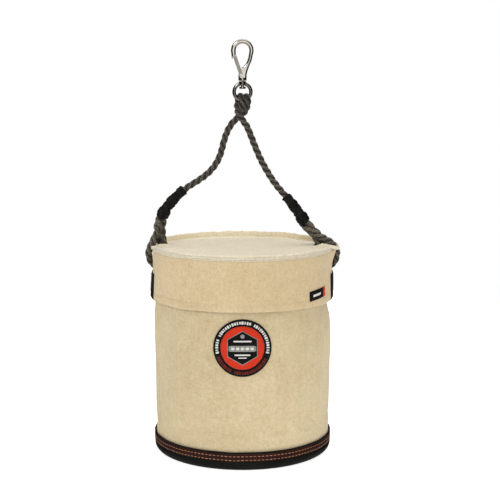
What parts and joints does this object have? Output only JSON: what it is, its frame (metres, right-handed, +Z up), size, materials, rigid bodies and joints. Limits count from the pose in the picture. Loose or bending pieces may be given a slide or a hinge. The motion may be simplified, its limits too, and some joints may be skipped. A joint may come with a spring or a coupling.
{
  "type": "canvas hoist bucket",
  "caption": "Canvas tool bucket with a leather bottom, a closing canvas top with a hanging skirt, a rope handle and a swivel snap hook.",
  "frame": {"origin": "middle of the underside, on the surface that the bucket stands on", "axes": "+Z up along the bucket's axis, -Y towards the front with the round patch, +X to the viewer's right"},
  "size_m": [0.3575, 0.3264, 0.7469],
  "materials": {
    "canvas": "natural cotton duck canvas",
    "lid_canvas": "natural cotton duck canvas",
    "leather": "black oiled leather with dyed brown edge",
    "board": "stiff moulded plastic",
    "eyelet": "nickel-plated eyelet",
    "patch_red": "red-orange woven patch",
    "patch_black": "black woven patch",
    "closure": "black hook and loop tape",
    "rope": "grey-brown three-strand rope",
    "tape": "black cloth tape",
    "polished_metal": "polished nickel"
  },
  "bodies": {
    "root": {"bucket_wall": "canvas", "rim_hem": "canvas", "rim_hoop": "board", "wall_side_seam": "canvas", "floor_panel": "canvas", "floor_board": "board", "leather_band": "leather", "leather_sole": "leather", "grommet_left": "eyelet", "grommet_right": "eyelet", "grommet_washer_left": "eyelet", "grommet_washer_right": "eyelet", "front_patch": "patch_red", "patch_border": "patch_black", "lid_rear_panel": "lid_canvas", "lid_rear_skirt": "lid_canvas", "lid_rear_ridge": "lid_canvas", "lid_corner_left": "lid_canvas", "lid_corner_right": "lid_canvas", "loop_patch_left": "closure", "loop_patch_right": "closure", "rope_eye_left": "rope", "rope_eye_right": "rope"},
    "lid_flap": {"lid_front_panel": "lid_canvas", "lid_front_skirt": "lid_canvas", "lid_front_ridge": "lid_canvas", "side_tag": "patch_black", "closure_tab_left": "closure", "closure_tab_right": "closure"},
    "handle": {"splice_left": "rope", "splice_right": "rope", "tape_wrap_left": "tape", "tape_wrap_right": "tape", "rope_leg_left": "rope", "rope_leg_right": "rope", "rope_hitch": "rope"},
    "eye": {"swivel_eye": "polished_metal"},
    "hook": {"hook_body": "polished_metal", "swivel_rivet": "polished_metal", "gate_rivet": "polished_metal"},
    "gate": {"gate": "polished_metal"}
  },
  "joints": [
    {"name": "lid_fold", "type": "hinge", "parent": "root", "child": "lid_flap", "pos_m": [0, -0.022, 0.3714], "axis": [-1, 0, 0], "range_deg": [0, 80]},
    {"name": "handle_swing", "type": "hinge", "parent": "root", "child": "handle", "pos_m": [0, 0, 0.392], "axis": [-1, 0, 0], "range_deg": [-75, 75]},
    {"name": "eye_rock", "type": "hinge", "parent": "handle", "child": "eye", "pos_m": [0, 0, 0.6383], "axis": [-1, 0, 0], "range_deg": [-25, 25]},
    {"name": "hook_swivel", "type": "hinge", "parent": "eye", "child": "hook", "pos_m": [0, 0, 0.69], "axis": [0, 0, 1], "continuous": true},
    {"name": "gate_open", "type": "hinge", "parent": "hook", "child": "gate", "pos_m": [-0.0023, 0, 0.6831], "axis": [0, 1, 0], "range_deg": [0, 25], "stiffness_Nm_per_rad": 0.03, "springref_deg": -20.05}
  ]
}
